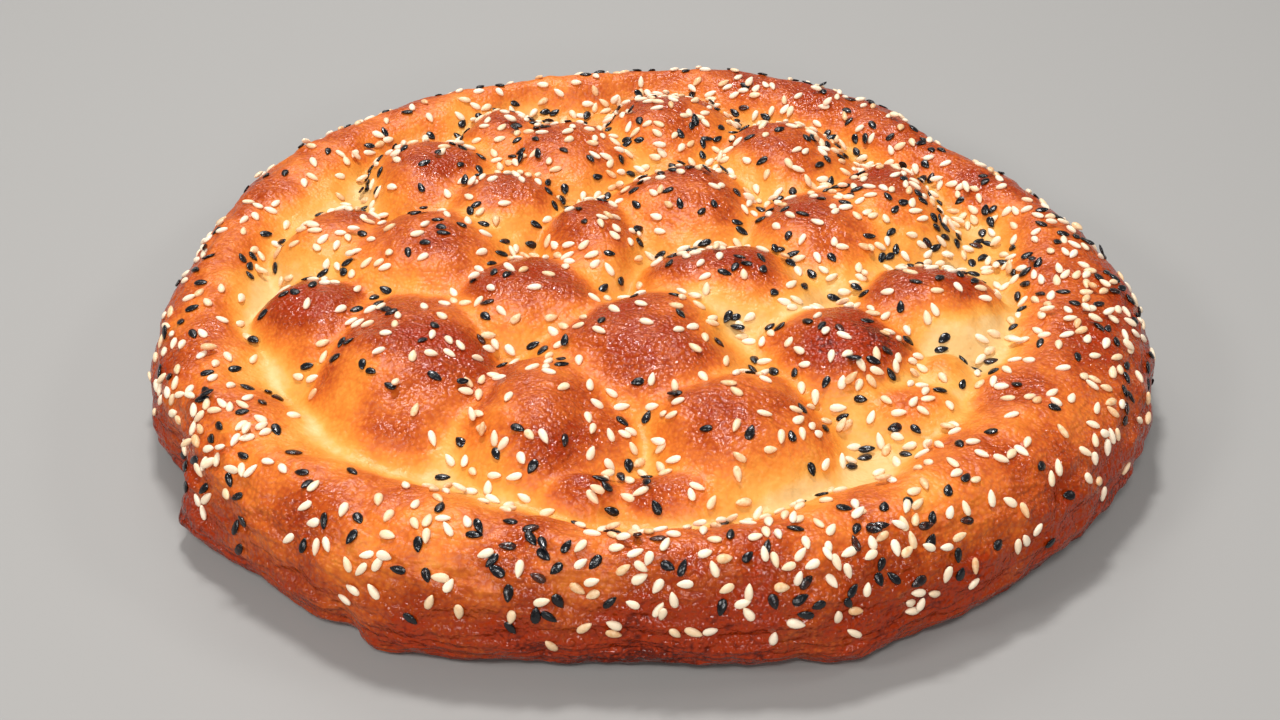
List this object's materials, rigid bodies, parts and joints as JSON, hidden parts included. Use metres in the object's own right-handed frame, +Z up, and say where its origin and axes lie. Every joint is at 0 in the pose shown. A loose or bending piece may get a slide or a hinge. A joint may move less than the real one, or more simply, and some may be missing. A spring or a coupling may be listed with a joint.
{
  "type": "round seeded flatbread",
  "caption": "Round pressed flatbread with a rolled rim, finger-pressed pillows and sesame seeds, baked whole.",
  "frame": {"origin": "on the table under the middle of the bread", "axes": "+Z up, -Y towards the front of the bread, the side that the picture's camera faces"},
  "size_m": [0.249, 0.2416, 0.0356],
  "materials": {
    "crust": "glossy egg-washed crust, deep orange brown on the wall and pillow tops, golden in the grooves",
    "pale_sesame": "satin cream seed",
    "black_sesame": "glossy black seed"
  },
  "bodies": {
    "root": {"flatbread": "crust"}
  },
  "joints": []
}
